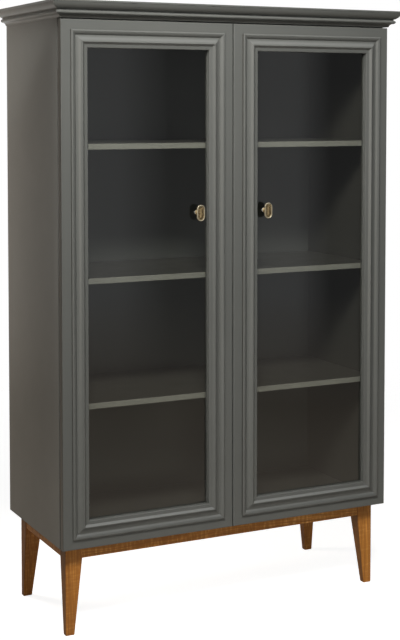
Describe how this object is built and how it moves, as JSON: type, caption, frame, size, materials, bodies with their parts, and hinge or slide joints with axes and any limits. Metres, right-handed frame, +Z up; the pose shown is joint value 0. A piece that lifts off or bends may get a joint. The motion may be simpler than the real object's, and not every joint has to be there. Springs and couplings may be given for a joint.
{
  "type": "glazed bookcase",
  "caption": "Free-standing bookcase with a pair of moulded glazed doors on side hinges, full-width shelves on pins, a moulded cornice and a base on tapered legs.",
  "frame": {"origin": "on the floor, under the middle of the bookcase's bounding box", "axes": "+X to the right seen from the front, +Y to the rear, +Z up"},
  "size_m": [1.2, 0.52, 1.89],
  "materials": {
    "paint": "satin olive-grey paint",
    "base_wood": "oiled reddish-brown wood",
    "glass": "clear float glass",
    "antique_brass": "aged cast brass",
    "steel": "bronzed",
    "clear_nylon": "matte",
    "catch_plastic": "matte brown"
  },
  "bodies": {
    "carcass": {"back_panel": "paint", "bottom_panel": "paint", "corner_block_screws": "steel", "corner_blocks": "base_wood", "cornice_cap": "paint", "cornice_rear_rail": "paint", "front_apron": "base_wood", "front_cornice": "paint", "front_left_leg": "base_wood", "front_right_leg": "base_wood", "hinge_case_leaves": "steel", "hinge_case_screws": "steel", "hinge_pins": "steel", "left_apron": "base_wood", "left_cornice": "paint", "left_side_panel": "paint", "lower_shelf": "paint", "magnetic_catches": "catch_plastic", "middle_shelf": "paint", "rear_apron": "base_wood", "rear_left_leg": "base_wood", "rear_right_leg": "base_wood", "right_apron": "base_wood", "right_cornice": "paint", "right_side_panel": "paint", "shelf_pins": "steel", "top_panel": "paint", "upper_shelf": "paint"},
    "left_door": {"left_door_bottom_moulding": "paint", "left_door_bottom_rail": "paint", "left_door_glass": "glass", "left_door_glazing_beads": "paint", "left_door_hinge_leaves": "steel", "left_door_hinge_moulding": "paint", "left_door_hinge_screws": "steel", "left_door_hinge_stile": "paint", "left_door_knob": "antique_brass", "left_door_knob_screw": "steel", "left_door_knob_washers": "clear_nylon", "left_door_meeting_moulding": "paint", "left_door_meeting_stile": "paint", "left_door_strike": "steel", "left_door_top_moulding": "paint", "left_door_top_rail": "paint"},
    "right_door": {"right_door_bottom_moulding": "paint", "right_door_bottom_rail": "paint", "right_door_glass": "glass", "right_door_glazing_beads": "paint", "right_door_hinge_leaves": "steel", "right_door_hinge_moulding": "paint", "right_door_hinge_screws": "steel", "right_door_hinge_stile": "paint", "right_door_knob": "antique_brass", "right_door_knob_screw": "steel", "right_door_knob_washers": "clear_nylon", "right_door_meeting_moulding": "paint", "right_door_meeting_stile": "paint", "right_door_strike": "steel", "right_door_top_moulding": "paint", "right_door_top_rail": "paint"}
  },
  "joints": [
    {"name": "left_door_hinge", "type": "hinge", "parent": "carcass", "child": "left_door", "pos_m": [-0.5625, -0.2005, 1.0545], "axis": [0, 0, -1], "range_deg": [0, 105]},
    {"name": "right_door_hinge", "type": "hinge", "parent": "carcass", "child": "right_door", "pos_m": [0.5625, -0.2005, 1.0545], "axis": [0, 0, 1], "range_deg": [0, 105]}
  ]
}
